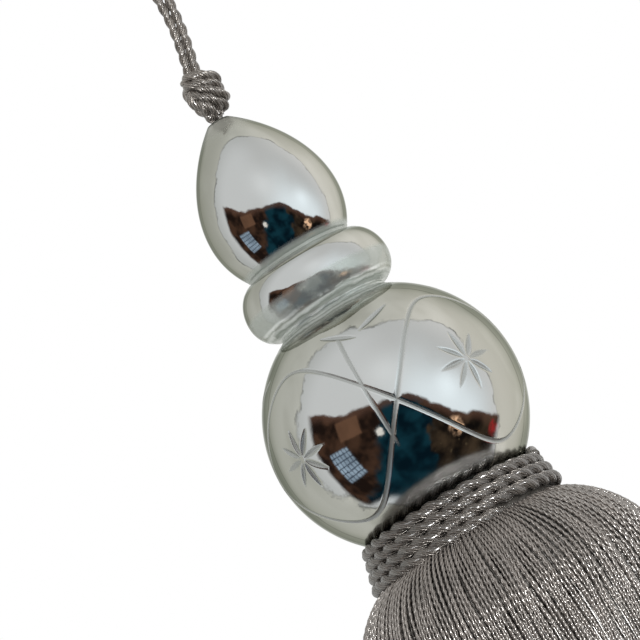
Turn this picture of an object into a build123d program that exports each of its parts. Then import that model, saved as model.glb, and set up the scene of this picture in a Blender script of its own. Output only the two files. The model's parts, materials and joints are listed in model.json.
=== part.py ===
from build123d import *
import math
import os

# Silvered glass finial ornament with a rope collar and a tassel, hung by a doubled cord loop.
# Millimetres, +Z up.  The origin is the hang point, the inner top of the cord loop, and the
# ornament hangs straight below it along -Z.

# ---- hanging cord and its knot
cord_dia = 2.0              # one leg of the two-ply hanging cord
leg_gap = 0.16              # space between the two legs where they lie side by side
loop_drop = 66.0            # hang point down to the top of the knot
knot_height = 12.4
knot_radius = 5.9
knot_foot_radius = 2.7      # where the knot narrows to the neck
neck_length = 1.7           # knot down to the rim of the glass
cord_sink = 1.4             # spare cord that is trimmed flush with the knot
pivot_depth = 0.3           # bend of the cord below the rim of the glass
swing_clearance = 0.35      # neck end to the cord inside the glass
turn_clearance = 0.05       # knot foot to the neck that turns under it
neck_edge = 0.8

# ---- blown glass
ball_radius = 35.0
egg_radius = 18.85
egg_height = 28.7           # widest line of the egg up to the rim
egg_above_waist = 13.1      # waist up to the widest line of the egg
waist_radius = 14.6
waist_height = 0.8
ring_radius = 21.05
ring_rise = 8.8             # widest line of the ring up to the waist
ring_fall = 7.2             # widest line of the ring down to the lower neck
lower_neck_radius = 15.4
lower_neck_height = 1.2
rim_hole_radius = 3.2
ball_hole_radius = 6.0
glass_wall = 1.6
silver_thickness = 0.12

# ---- cut decoration on the ball
star_count = 4
star_first_azimuth = -48.5  # degrees from +X, seen from above
star_elevation = 0.0
star_petals = 8
petal_start = 0.7
petal_end = 8.8
petal_width = 1.75
petal_depth = 0.45
medallion_half_angle = 42.5
groove_radius = 0.75
groove_depth = 0.35

# ---- tassel head
collar_drop_share = 0.78    # ball centre down to the middle of the first rope turn, of its radius
rope_dia = 3.5
rope_turns = 4
turn_pitch = 3.25           # along the slope of the collar
collar_slope = 15.5         # degrees that the collar widens downwards
binding_thickness = 0.5
heads_thickness = 1.1       # thread heads that the rope covers
tape_thickness = 0.8
fit_gap = 0.05              # between wound layers
glue_gap = 0.15             # ball in its cup
core_rim_lower = 1.6        # middle of the first rope turn down to the rim of the cup
core_depth = 30.0           # foot of the collar down to the foot of the core
core_bore_radius = 2.7
washer_radius = 7.0
washer_thickness = 1.5
recess_gap = 0.4
retaining_knot_radius = 4.6
retaining_knot_height = 7.5
tail_length = 14.0

# ---- skirt
skirt_length = 105.0        # below the collar
skirt_shoulder_out = 3.92   # middle of the first rope turn out to the shoulder of the skirt
skirt_spread = 16.4         # shoulder out to the widest line
hem_draw = 0.7              # widest line in to the hem
flare_drop = 30.0           # height over which the skirt opens out
flare_angle = 62.0          # degrees from the vertical where the threads leave the collar
flare_start_pull = 10.0
flare_end_pull = 15.0
layer_thickness = 5.3
layer_gap = 0.3
inner_head = 4.4            # thickness of the inner threads where they are tied on
inner_layer_short = 3.0     # the inner layer ends above the outer one

# ---- levels and radii worked out from the sizes above
leg_offset = (cord_dia + leg_gap) / 2
neck_half_width = leg_offset + cord_dia / 2
knot_top = -loop_drop
knot_foot = knot_top - knot_height
rim_level = knot_foot - neck_length
pivot_level = rim_level - pivot_depth
egg_level = rim_level - egg_height
waist_top = egg_level - egg_above_waist
waist_foot = waist_top - waist_height
ring_level = waist_foot - ring_rise
lower_neck_top = ring_level - ring_fall
lower_neck_foot = lower_neck_top - lower_neck_height
ball_level = lower_neck_foot - math.sqrt(ball_radius**2 - lower_neck_radius**2)

rope_radius = rope_dia / 2
slope = math.radians(collar_slope)
turn_drop = turn_pitch * math.cos(slope)
turn_growth = turn_pitch * math.sin(slope)
collar_top_drop = ball_radius * collar_drop_share
first_turn_level = ball_level - collar_top_drop
first_turn_radius = math.sqrt((ball_radius + rope_radius + fit_gap) ** 2 - collar_top_drop**2)
collar_foot = first_turn_level - (rope_turns - 1) * turn_drop - rope_radius
skirt_top = collar_foot - fit_gap
skirt_foot = skirt_top - skirt_length
core_rim = first_turn_level - core_rim_lower
skirt_shoulder_radius = first_turn_radius + skirt_shoulder_out
skirt_radius = skirt_shoulder_radius + skirt_spread
skirt_hem_radius = skirt_radius - hem_draw
core_foot = collar_foot - core_depth
washer_top = core_foot + washer_thickness
retaining_knot_top = core_foot - fit_gap

# insets of the collar's layers, measured inwards from the line through the rope's centres
binding_out = rope_radius + fit_gap
heads_out = binding_out + binding_thickness + fit_gap
tape_out = heads_out + heads_thickness + fit_gap
core_out = tape_out + tape_thickness + fit_gap


def point(x, z):
    """A point of the XZ plane, where the turned outlines are drawn."""
    return Vector(x, 0, z)


def straight(*points):
    """Straight edges from point to point."""
    return [Line(a, b).edge() for a, b in zip(points, points[1:])]


def turned(edges):
    """Solid of revolution about Z from a closed chain of edges in the XZ plane."""
    return revolve(make_face(Wire(edges)), Axis.Z)


def oval_arc(center, x_radius, z_radius, start, end):
    """Elliptical arc in the XZ plane; angles in degrees from +X towards +Z."""
    flat = EllipticalCenterArc((0, 0), x_radius, z_radius, start, arc_size=end - start).edge()
    return flat.rotate(Axis.X, 90).translate(center)


def glass_outline(inset):
    """Outline of the blown form from the rim hole to the foot hole, moved in by inset."""
    egg = egg_radius - inset
    waist = waist_radius - inset
    ring = ring_radius - inset
    neck = lower_neck_radius - inset
    ball = ball_radius - inset
    top = rim_level - inset * 1.25
    egg_rise = top - egg_level
    egg_drop = egg_above_waist / math.sqrt(1 - (waist / egg) ** 2)
    waist_angle = math.degrees(math.asin(egg_above_waist / egg_drop))
    neck_level = ball_level + math.sqrt(ball**2 - neck**2)
    foot_level = ball_level - math.sqrt(ball**2 - ball_hole_radius**2)
    shoulder = Bezier(
        point(rim_hole_radius, top),
        point(egg * 0.55, top - egg_rise * 0.2),
        point(egg, egg_level + egg_rise * 0.43),
        point(egg, egg_level),
    )
    ball_arc = ThreePointArc(
        point(neck, neck_level), point(ball, ball_level), point(ball_hole_radius, foot_level)
    )
    return [
        shoulder.edge(),
        oval_arc(point(0, egg_level), egg, egg_drop, 0, -waist_angle),
        Line(point(waist, waist_top), point(waist, waist_foot - inset)).edge(),
        oval_arc(point(waist, ring_level), ring - waist, ring_rise - inset, 90, 0),
        oval_arc(point(neck, ring_level), ring - neck, ring_fall - inset, 0, -90),
        Line(point(neck, lower_neck_top + inset), point(neck, neck_level)).edge(),
        ball_arc.edge(),
    ]


def blown_shell(outer_inset, inner_inset):
    """Hollow form between two insets of the blown outline."""
    outer = glass_outline(outer_inset)
    inner = glass_outline(inner_inset)
    foot = straight(outer[-1] @ 1, inner[-1] @ 1)
    rim = straight(inner[0] @ 0, outer[0] @ 0)
    return turned(outer + foot + inner + rim)


def star_plane(azimuth):
    """Plane on the ball's surface at a star, with its Z pointing out of the ball."""
    a = math.radians(azimuth)
    e = math.radians(star_elevation)
    out = Vector(math.cos(a) * math.cos(e), math.sin(a) * math.cos(e), math.sin(e))
    side = Vector(-math.sin(a), math.cos(a), 0)
    return Plane(origin=Vector(0, 0, ball_level) + out * ball_radius, x_dir=side, z_dir=out)


def star_cuts(azimuth):
    """Slim leaf cuts in a star, each as deep all over as the petal's depth."""
    middle = (petal_start + petal_end) / 2
    half = petal_width / 2
    upper = ThreePointArc((petal_start, 0), (middle, half), (petal_end, 0)).edge()
    lower = ThreePointArc((petal_end, 0), (middle, -half), (petal_start, 0)).edge()
    leaf = extrude(make_face(Wire([upper, lower])), petal_end / 2, both=True)
    skin = Sphere(ball_radius + 1) - Sphere(ball_radius - petal_depth)
    skin = Pos(0, 0, ball_level) * skin
    place = star_plane(azimuth)
    return [skin & (place * Rot(Z=360 * k / star_petals) * leaf) for k in range(star_petals)]


def medallion_groove(azimuth):
    """Round groove that frames a star."""
    reach = ball_radius + groove_radius - groove_depth
    half = math.radians(medallion_half_angle)
    sink = ball_radius - reach * math.cos(half)
    return star_plane(azimuth) * Pos(0, 0, -sink) * Torus(reach * math.sin(half), groove_radius)


def glass_finial():
    """One blown piece: egg, ring and ball, with a rim hole, a foot hole and the cut stars."""
    glass = blown_shell(0, glass_wall)
    for k in range(star_count):
        azimuth = star_first_azimuth + 360 / star_count * k
        glass -= medallion_groove(azimuth)
        for cut in star_cuts(azimuth):
            glass -= cut
    return glass


def collar_line(level, inset):
    """Radius of the collar's cone at a level, inwards from the line of the rope's centres."""
    centre = first_turn_radius + (first_turn_level - level) * math.tan(slope)
    return centre - inset / math.cos(slope)


def sleeve(top, foot, outer_inset, inner_inset):
    """Conical layer wound round the tassel head."""
    corners = [
        point(collar_line(top, outer_inset), top),
        point(collar_line(foot, outer_inset), foot),
        point(collar_line(foot, inner_inset), foot),
        point(collar_line(top, inner_inset), top),
    ]
    return turned(straight(*corners, corners[0]))


def rope_collar():
    """The rope's turns, each bedded against the next."""
    collar = None
    for k in range(rope_turns):
        ring = Torus(first_turn_radius + k * turn_growth, rope_radius)
        ring = Pos(0, 0, first_turn_level - k * turn_drop) * ring
        collar = ring if collar is None else collar + ring
    return collar


def flare(start_radius, end_radius):
    """Curve of the skirt from the collar out to its full width."""
    lean = math.radians(flare_angle)
    end_level = skirt_top - flare_drop
    return Bezier(
        point(start_radius, skirt_top),
        point(
            start_radius + flare_start_pull * math.sin(lean),
            skirt_top - flare_start_pull * math.cos(lean),
        ),
        point(end_radius, end_level + flare_end_pull),
        point(end_radius, end_level),
    ).edge()


layer_step = layer_thickness + layer_gap
heads_in = heads_out + heads_thickness
inner_start = collar_line(skirt_top, heads_in) - layer_gap
core_start = inner_start - inner_head


def below(level):
    """Everything below a level."""
    return Pos(0, 0, level - skirt_length) * Cylinder(2 * skirt_radius, 2 * skirt_length)


def bell(outer, hem_radius, hem_level):
    """Solid under a flare down to a flat hem."""
    hem = straight(outer @ 1, point(hem_radius, hem_level), point(0, hem_level))
    return turned([outer] + hem + straight(point(0, hem_level), point(0, skirt_top), outer @ 0))


def dome(gap):
    """The mould's dome below the collar, grown by a gap."""
    spread = flare(core_start + gap, skirt_radius - 2 * layer_step + gap)
    return bell(spread, (spread @ 1).X, skirt_foot) - below(core_foot - gap)


def skirt_outer():
    """Outer layer of hanging threads, whose heads run up under the rope."""
    inside = collar_line(skirt_top, heads_in)
    outer = flare(skirt_shoulder_radius, skirt_radius)
    inner = flare(inside, skirt_radius - layer_thickness)
    hem_out = point(skirt_hem_radius, skirt_foot)
    hem_in = point(skirt_hem_radius - layer_thickness, skirt_foot)
    head = straight(
        inner @ 0,
        point(collar_line(core_rim, heads_in), core_rim),
        point(collar_line(core_rim, heads_out), core_rim),
        point(collar_line(skirt_top, heads_out), skirt_top),
        outer @ 0,
    )
    return turned([outer] + straight(outer @ 1, hem_out, hem_in, inner @ 1) + [inner] + head)


def skirt_inner():
    """Inner threads, tied on below the cup: they cover the dome and fill the skirt."""
    outer = flare(inner_start, skirt_radius - layer_step)
    threads = bell(outer, skirt_hem_radius - layer_step, skirt_foot + inner_layer_short)
    pocket_depth = retaining_knot_height + tail_length + recess_gap
    pocket = Cylinder(retaining_knot_radius + recess_gap, 2 * pocket_depth)
    return threads - dome(fit_gap) - Pos(0, 0, retaining_knot_top) * pocket


def tassel_core():
    """Turned mould: a cup for the ball, a dome under the skirt, a bore for the cord."""
    rim = point(collar_line(core_rim, core_out), core_rim)
    groove = point(collar_line(skirt_top, core_out), skirt_top)
    axis_top, axis_foot = point(0, core_rim), point(0, skirt_top)
    cup = turned(straight(axis_top, rim, groove, axis_foot, axis_top))
    core = cup + dome(0)
    core -= Pos(0, 0, ball_level) * Sphere(ball_radius + glue_gap)
    core -= Pos(0, 0, core_foot) * Cylinder(core_bore_radius, 4 * core_depth)
    return core - Pos(0, 0, core_foot) * Cylinder(washer_radius + recess_gap, 2 * washer_thickness)


def stop_washer():
    """Flat washer that spreads the cord's pull on the core."""
    middle = washer_top - washer_thickness / 2
    return Pos(0, 0, middle) * (
        Cylinder(washer_radius, washer_thickness) - Cylinder(core_bore_radius, 2 * washer_thickness)
    )


def lobed_knot(top, height, radius, top_radius, foot_radius):
    """Outer shape of a tied knot: two rounded wraps between flat ends."""
    foot = top - height
    upper = ThreePointArc(
        point(top_radius, top),
        point(radius * 0.96, top - height * 0.22),
        point(radius * 0.88, top - height * 0.45),
    )
    lower = ThreePointArc(
        upper @ 1, point(radius, top - height * 0.62), point(foot_radius, foot)
    )
    ends = straight(lower @ 1, point(0, foot), point(0, top), upper @ 0)
    return turned([upper.edge(), lower.edge()] + ends)


def cord_neck():
    """The two legs between knot and rim, rounded below to bend at the rim."""
    top = knot_foot - turn_clearance
    height = top - pivot_level
    block = Pos(0, 0, pivot_level + height / 2) * Box(2 * neck_half_width, cord_dia, height)
    bend = Pos(0, 0, pivot_level) * Rot(X=90) * Cylinder(neck_half_width, cord_dia)
    neck = (block + bend) - Pos(0, 0, top + height) * Box(4 * neck_half_width, 2 * cord_dia, 2 * height)
    sides = neck.edges().filter_by(lambda e: abs(abs(e.center().Y) - cord_dia / 2) < 1e-6)
    return fillet(sides, neck_edge)


def leg_rod(side, top, foot):
    """One straight leg of the doubled cord."""
    return Pos(side * leg_offset, 0, (top + foot) / 2) * Cylinder(cord_dia / 2, top - foot)


# The loop's route: up the left leg, round the hook and down the right leg.  It leaves the knot
# leaning to +X and comes back over the ornament's axis at the hook.
loop_route = [
    (-0.38, 0, -66.0),
    (1.82, 0, -58.0),
    (3.42, 0, -47.0),
    (2.9, 0, -33.0),
    (0.2, 0, -18.0),
    (-2.6, 0, -7.0),
    (-4.0, 0, -0.7),
    (0.0, 0, 1.6),
    (4.0, 0, -0.7),
    (4.3, 0, -7.0),
    (5.2, 0, -18.0),
    (6.0, 0, -33.0),
    (5.58, 0, -47.0),
    (3.98, 0, -58.0),
    (1.78, 0, -66.0),
]


def cord_radii(route):
    """Arc radius at each corner: 0.45 of the shorter run over the tangent of half the turn."""
    radii = []
    for before, corner, after in zip(route, route[1:], route[2:]):
        run_in, run_out = corner - before, after - corner
        turn = math.radians(run_in.get_angle(run_out))
        shorter = min(run_in.length, run_out.length)
        radii.append(0.45 * shorter / math.tan(turn / 2))
    return radii


def cord_tube(route, diameter):
    """Tube of straight runs joined by tangent arcs."""
    radii = cord_radii(route)
    path = FilletPolyline(*route, radius=radii)
    print("cord radii mm:", [round(r, 1) for r in radii], "length", round(path.length, 1))
    start = Plane(origin=path @ 0, z_dir=path % 0)
    return sweep(start * Circle(diameter / 2), path=path)


def hanging_loop():
    """The loop, its two ends cut flush with the top of the knot."""
    spots = [Vector(*p) for p in loop_route]
    first = spots[0] + (spots[0] - spots[1]).normalized() * cord_sink
    last = spots[-1] + (spots[-1] - spots[-2]).normalized() * cord_sink
    tube = cord_tube([first] + spots[1:-1] + [last], cord_dia)
    return tube - Pos(0, 0, knot_top - knot_height) * Box(50, 50, 2 * knot_height)


parts = {
    "hanging_loop": hanging_loop(),
    "hanging_knot": lobed_knot(knot_top, knot_height, knot_radius, 3.6, knot_foot_radius),
    "cord_neck": cord_neck(),
    "glass_finial": glass_finial(),
    "silver_lining": blown_shell(glass_wall, glass_wall + silver_thickness),
    "tassel_core": tassel_core(),
    "heading_tape": sleeve(core_rim, skirt_top, tape_out, tape_out + tape_thickness),
    "binding_thread": sleeve(core_rim, collar_foot, binding_out, binding_out + binding_thickness),
    "rope_collar": rope_collar(),
    "skirt_outer": skirt_outer(),
    "skirt_inner": skirt_inner(),
    "stop_washer": stop_washer(),
    "retaining_knot": lobed_knot(
        retaining_knot_top, retaining_knot_height, retaining_knot_radius, 3.0, 2.6
    ),
}
inner_top = pivot_level - neck_half_width - swing_clearance
tail_top = retaining_knot_top - retaining_knot_height
for name, side in (("left", -1), ("right", 1)):
    parts[f"inner_cord_{name}"] = leg_rod(side, inner_top, retaining_knot_top)
    parts[f"cord_tail_{name}"] = leg_rod(side, tail_top, tail_top - tail_length)

os.makedirs("parts", exist_ok=True)
for name, shape in parts.items():
    export_step(shape, f"parts/{name}.step")
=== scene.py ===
"""Looks of a hanging tassel ornament: cord and knot, silvered glass finial, rope collar, thread skirt."""
import json
import logging
import math
from dataclasses import dataclass, field
from enum import Enum
from typing import Mapping, Sequence, Union

import bmesh
import bpy
import numpy as np
from mathutils import Matrix, Vector

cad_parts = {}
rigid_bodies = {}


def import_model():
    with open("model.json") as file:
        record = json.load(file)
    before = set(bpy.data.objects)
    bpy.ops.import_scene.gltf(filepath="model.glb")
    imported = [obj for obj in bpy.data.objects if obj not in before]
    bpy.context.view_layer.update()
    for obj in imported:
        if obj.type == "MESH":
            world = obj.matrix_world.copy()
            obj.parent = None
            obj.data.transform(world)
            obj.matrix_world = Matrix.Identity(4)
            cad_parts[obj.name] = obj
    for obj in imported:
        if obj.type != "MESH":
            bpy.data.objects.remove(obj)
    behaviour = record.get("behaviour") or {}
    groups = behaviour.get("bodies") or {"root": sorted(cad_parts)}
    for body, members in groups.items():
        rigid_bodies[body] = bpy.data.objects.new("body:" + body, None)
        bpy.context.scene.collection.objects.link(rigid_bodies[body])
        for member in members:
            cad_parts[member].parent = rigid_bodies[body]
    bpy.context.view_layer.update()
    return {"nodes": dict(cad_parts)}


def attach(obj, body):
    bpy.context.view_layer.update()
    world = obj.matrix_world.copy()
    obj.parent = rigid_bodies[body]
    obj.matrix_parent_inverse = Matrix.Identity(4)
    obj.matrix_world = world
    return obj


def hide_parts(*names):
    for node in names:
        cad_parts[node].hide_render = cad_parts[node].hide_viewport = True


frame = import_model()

log = logging.getLogger("ornament")
MM = 0.001
TAU = 2.0 * math.pi
Colour = tuple[float, float, float]
Point = tuple[float, float, float]
BAKE_MAP = "OFBake"
YARN_MAP = "yarn"


class Body(str, Enum):
    """The moving bodies that pieces ride on."""

    CORD = "hanging_cord"
    NECK = "twisting_neck"
    ORNAMENT = "ornament"


# ---------------------------------------------------------------- shader sums


class Wire:
    """An output socket that can be used in sums; each operator adds its Math node."""

    def __init__(self, graph: "Graph", socket: bpy.types.NodeSocket) -> None:
        """Wrap a socket.

        Args:
            graph: The graph that the socket's node is in.
            socket: The output socket.
        """
        self.graph = graph
        self.socket = socket

    def sum(self, operation: str, *values: Union["Wire", float]) -> "Wire":
        """Add one Math node.

        Args:
            operation: The Math node's operation.
            values: What its sockets take, in order.

        Returns:
            The node's output.
        """
        return self.graph.add("ShaderNodeMath", {"operation": operation}, dict(enumerate(values)))

    def __add__(self, other: Union["Wire", float]) -> "Wire":
        """Return self + other."""
        return self.sum("ADD", self, other)

    def __radd__(self, other: float) -> "Wire":
        """Return other + self."""
        return self.sum("ADD", other, self)

    def __sub__(self, other: Union["Wire", float]) -> "Wire":
        """Return self - other."""
        return self.sum("SUBTRACT", self, other)

    def __rsub__(self, other: float) -> "Wire":
        """Return other - self."""
        return self.sum("SUBTRACT", other, self)

    def __mul__(self, other: Union["Wire", float]) -> "Wire":
        """Return self * other."""
        return self.sum("MULTIPLY", self, other)

    def __truediv__(self, other: Union["Wire", float]) -> "Wire":
        """Return self / other."""
        return self.sum("DIVIDE", self, other)

    def __pow__(self, other: float) -> "Wire":
        """Return self raised to other."""
        return self.sum("POWER", self, other)

    def wave(self) -> "Wire":
        """Return the sine of self."""
        return self.sum("SINE", self)

    def exp(self) -> "Wire":
        """Return e raised to self."""
        return self.sum("EXPONENT", self)

    def size(self) -> "Wire":
        """Return self without its sign."""
        return self.sum("ABSOLUTE", self)

    def most(self, other: Union["Wire", float]) -> "Wire":
        """Return the larger of self and other."""
        return self.sum("MAXIMUM", self, other)

    def least(self, other: Union["Wire", float]) -> "Wire":
        """Return the smaller of self and other."""
        return self.sum("MINIMUM", self, other)

    def step(self, low: float, high: float) -> "Wire":
        """Ease from 0 at low to 1 at high.

        Args:
            low: Where the rise starts.
            high: Where it ends; below low, the step falls instead.

        Returns:
            The eased value.
        """
        settings = {"interpolation_type": "SMOOTHSTEP"}
        if low < high:
            return self.graph.add("ShaderNodeMapRange", settings, {0: self, 1: low, 2: high})
        return 1.0 - self.graph.add("ShaderNodeMapRange", settings, {0: self, 1: high, 2: low})


class Graph:
    """A node tree with one way of adding a node."""

    def __init__(self, tree: bpy.types.NodeTree) -> None:
        """Start from an empty tree.

        Args:
            tree: The node tree, which is cleared.
        """
        self.tree = tree
        tree.nodes.clear()

    def add(self, kind: str, settings: Mapping[str, object] | None = None,
            sockets: Mapping[int | str, object] | None = None, output: int | str = 0) -> Wire:
        """Add a node.

        Args:
            kind: The node's type.
            settings: Its properties, set first.
            sockets: Values or wires for its inputs, by name or number.
            output: Which output to return.

        Returns:
            The chosen output.
        """
        node = self.tree.nodes.new(kind)
        for name, value in (settings or {}).items():
            setattr(node, name, value)
        for key, value in (sockets or {}).items():
            if isinstance(value, Wire):
                self.tree.links.new(value.socket, node.inputs[key])
            elif isinstance(value, tuple) and len(value) == 3 and node.inputs[key].type == "RGBA":
                node.inputs[key].default_value = (*value, 1.0)
            else:
                node.inputs[key].default_value = value
        out = node.outputs[output] if len(node.outputs) else None
        return Wire(self, out)

    def blend(self, share: Wire | float, first: Wire | Colour, second: Wire | Colour) -> Wire:
        """Mix two colours.

        Args:
            share: How much of the second colour.
            first: The first colour.
            second: The second colour.

        Returns:
            The mixed colour.
        """
        return self.add("ShaderNodeMix", {"data_type": "RGBA"}, {0: share, 6: first, 7: second}, 2)

    def dot(self, vector: Wire, axis: Sequence[float]) -> Wire:
        """Return how far a vector reaches along an axis."""
        return self.add("ShaderNodeVectorMath", {"operation": "DOT_PRODUCT"},
                        {0: vector, 1: tuple(axis)}, "Value")

    def noise(self, where: Wire, scale: float, detail: float = 2.0, roughness: float = 0.5) -> Wire:
        """Return noise from 0 to 1.

        Args:
            where: The coordinates.
            scale: How fine it is.
            detail: How many finer layers it has.
            roughness: How strong the finer layers are.

        Returns:
            The noise's value.
        """
        return self.add("ShaderNodeTexNoise", None, {
            "Vector": where, "Scale": scale, "Detail": detail, "Roughness": roughness}, "Fac")

    def stretched(self, where: Wire, scale: Point) -> Wire:
        """Return coordinates multiplied by a scale for each axis."""
        return self.add("ShaderNodeVectorMath", {"operation": "MULTIPLY"}, {0: where, 1: scale})

    def place(self) -> Wire:
        """Return a point's place on the piece, in metres."""
        return self.add("ShaderNodeTexCoord", None, None, "Object")

    def bump(self, height: Wire, depth: float, strength: float = 1.0) -> Wire:
        """Return a normal bumped by a height.

        Args:
            height: The height, from 0 to 1.
            depth: How deep a height of 1 is, in metres.
            strength: How much of the bump is used.

        Returns:
            The normal.
        """
        return self.add("ShaderNodeBump", None, {
            "Height": height, "Distance": depth, "Strength": strength}, "Normal")


@dataclass(frozen=True)
class Finish:
    """A material; each kind of finish wires its own surface."""

    name: str

    def surface(self, graph: Graph) -> Wire:
        """Wire the shader and return its output."""
        raise NotImplementedError

    def material(self) -> bpy.types.Material:
        """Return the material, made the first time it is asked for."""
        made = bpy.data.materials.get(self.name)
        if made is None:
            made = bpy.data.materials.new(self.name)
            made.use_nodes = True
            graph = Graph(made.node_tree)
            graph.add("ShaderNodeOutputMaterial", None, {"Surface": self.surface(graph)})
        return made


@dataclass(frozen=True)
class SilveredGlass(Finish):
    """Clear blown glass over silvering, with cuts left matt by the wheel."""

    silver: Colour = (0.475, 0.480, 0.474)
    # Painted reflection of the glass wall: the edge and cream colours fill a band towards the outline.
    edge: Colour = (0.425, 0.420, 0.375)
    rim_reflection_cream: Colour = (0.560, 0.553, 0.510)
    # Painted shade: darker towards the outline and in the troughs of the ribs.
    shade: Colour = (0.225, 0.237, 0.207)
    # Painted dark contour lines in the band of painted reflection.
    line: Colour = (0.050, 0.052, 0.044)
    frost: Colour = (0.400, 0.410, 0.395)
    greenish: Colour = (0.560, 0.600, 0.555)
    # Painted highlight on the crests of the ribs where the glass is clear.
    rib_crest_highlight: Colour = (0.97, 0.99, 0.97)
    rib_pitch: float = 0.0012

    def _ridge(self, value: Wire, level: float, width: float) -> Wire:
        """Return a thin line where a value passes a level.

        Args:
            value: The value.
            level: Where the line is.
            width: How far the line reaches to each side.

        Returns:
            The line, 1 in its middle.
        """
        return (1.0 - (value - level).size() * (1.0 / width)).most(0.0)

    def surface(self, graph: Graph) -> Wire:
        """Wire the shader: silver with a painted reflection of the glass wall as a cream-green band towards
        its outline, painted shade and dark lines there, and matt cuts.
        """
        place = graph.place()
        frost = graph.add("ShaderNodeAttribute", {"attribute_name": "frost"}, None, "Fac")
        facing = graph.add("ShaderNodeLayerWeight", None, {"Blend": 0.5}, "Facing")
        broad = graph.noise(place, 38.0, 2.0) - 0.5
        ragged = graph.noise(place, 120.0, 5.0, 0.62) - 0.5
        bent = facing + broad * 0.34 + ragged * 0.17
        # A cream-green band towards the outline: painted reflection of the glass wall.
        rim_reflection_band = bent.step(0.330, 0.350)
        drawn = graph.noise(graph.stretched(place, (60.0, 60.0, 22.0)), 1.0, 3.0)
        pale = graph.blend(drawn.step(0.42, 0.62) * 0.75, self.edge, self.rim_reflection_cream)
        tone = graph.blend(rim_reflection_band, self.silver, pale)
        # Darker towards the outline: painted shade.
        tone = graph.blend((facing + broad * 0.5).step(0.60, 0.84) * 0.85, tone, self.shade)
        # Dark contour lines in the band, and darkest at the very outline: painted dark lines and painted
        # shade.
        lines = (self._ridge(bent, 0.340, 0.016) * (0.15 + ragged.size() * 4.0)
                 + self._ridge(facing + broad * 0.06, 0.70, 0.012) * 0.5
                 + self._ridge(facing + (drawn - 0.5) * 0.10, 0.82, 0.018) * 0.7
                 + facing.step(0.90, 1.0) * 0.8)
        tone = graph.blend(lines.least(0.9), tone, self.line)
        tone = graph.blend(frost * 0.8, tone, self.frost)
        level = graph.dot(place, (0.0, 0.0, 1.0))
        patchy = (drawn + ragged * 1.4).step(0.36, 0.60)
        above_ball = level.step(-0.1440, -0.1405)
        lower = level.step(-0.1306, -0.1324) * above_ball * (patchy * 0.45 + 0.55)
        clear = (level.step(-0.1362, -0.1380) * above_ball
                 + level.step(-0.1195, -0.1212) * level.step(-0.1250, -0.1232)).most(lower * 0.9)
        ribs = ((level + ragged * 0.0022) * (TAU / self.rib_pitch)).wave() * 0.5 + 0.5
        ribs = ribs * level.step(-0.1352, -0.1372)
        tip = level.step(-0.0870, -0.0812)
        foot = level.step(-0.1880, -0.1960)
        # Clear glass: its green tint, with painted highlights on the ribs' crests and painted shade in their
        # troughs.
        clear_glass_and_rib_light = graph.blend(ribs * 0.8 + ragged * 2.4, self.greenish, self.rib_crest_highlight)
        clear_glass_and_rib_light = graph.blend(ribs.step(0.30, 0.05) * 0.35, clear_glass_and_rib_light, self.shade)
        tone = graph.blend(clear * 0.9, tone, clear_glass_and_rib_light)
        slow = graph.noise(place, 34.0, 1.0)
        grain = graph.noise(place, 2600.0, 2.0)
        relief = slow + frost * grain * 0.03 + ragged * (0.05 + clear * 0.5) + clear * ribs * 0.12
        return graph.add("ShaderNodeBsdfPrincipled", None, {
            "Base Color": tone, "Metallic": 1.0 - frost * 0.25 - clear * 0.65 - tip * 0.5,
            "Roughness": (0.035 + (broad + 0.5) * 0.03 + frost * 0.36 + clear * 0.18
                          + tip * 0.35 + foot * 0.15),
            "Specular Tint": (0.50, 0.51, 0.46, 1.0), "Normal": graph.bump(relief, 0.0009, 0.5)})


@dataclass(frozen=True)
class Silvering(Finish):
    """The thin silver inside the glass, with faint clouding."""

    bright: Colour = (0.62, 0.62, 0.60)
    dull: Colour = (0.40, 0.38, 0.34)

    def surface(self, graph: Graph) -> Wire:
        """Wire the shader: a mirror that is a little cloudy in places."""
        cloud = graph.noise(graph.place(), 90.0, 4.0)
        return graph.add("ShaderNodeBsdfPrincipled", None, {
            "Base Color": graph.blend(cloud.step(0.45, 0.75), self.bright, self.dull),
            "Metallic": 1.0, "Roughness": 0.08 + cloud * 0.12})


@dataclass(frozen=True)
class Yarn(Finish):
    """Twisted silky yarn, with fine fibres that run slantwise round it."""

    dark: Colour = (0.085, 0.075, 0.065)
    light: Colour = (0.30, 0.28, 0.26)
    fibres: float = 9.0
    lay: float = 0.004
    roughness: float = 0.34
    sheen: float = 0.25
    depth: float = 0.00012
    fray: float = 0.35
    ruffle: float = 3.0
    gloss: float = 0.4

    def surface(self, graph: Graph) -> Wire:
        """Wire the shader: slanting fibres, with painted shade in the grooves between them, and a soft sheen.
        """
        chart = graph.add("ShaderNodeUVMap", {"uv_map": YARN_MAP}, None, "UV")
        around = graph.dot(chart, (TAU * self.fibres, TAU / self.lay, 0.0)) + 0.25 * TAU
        fray = graph.noise(graph.place(), 1100.0, 2.0, 0.55)
        shade = graph.noise(graph.place(), 130.0, 2.0)
        fibre = (around + fray * self.ruffle).wave() * 0.5 + 0.5
        # The tone is darker between the fibres (between the plies on the threads): painted shade in the
        # grooves.
        tone = (fibre * 0.42 + (fray - 0.5) * self.fray + (shade - 0.5) * 0.7 + 0.28).step(-0.1, 1.1)
        return graph.add("ShaderNodeBsdfPrincipled", None, {
            "Base Color": graph.blend(tone, self.dark, self.light),
            "Roughness": self.roughness + (fray - 0.5) * 0.1,
            "Specular IOR Level": 0.8, "Specular Tint": (1.0, 0.93, 0.85, 1.0),
            "Coat Weight": self.gloss, "Coat Roughness": 0.18,
            "Sheen Weight": self.sheen, "Sheen Roughness": 0.35,
            "Normal": graph.bump(fibre * 0.8 + fray * 0.2, self.depth)})


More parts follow.
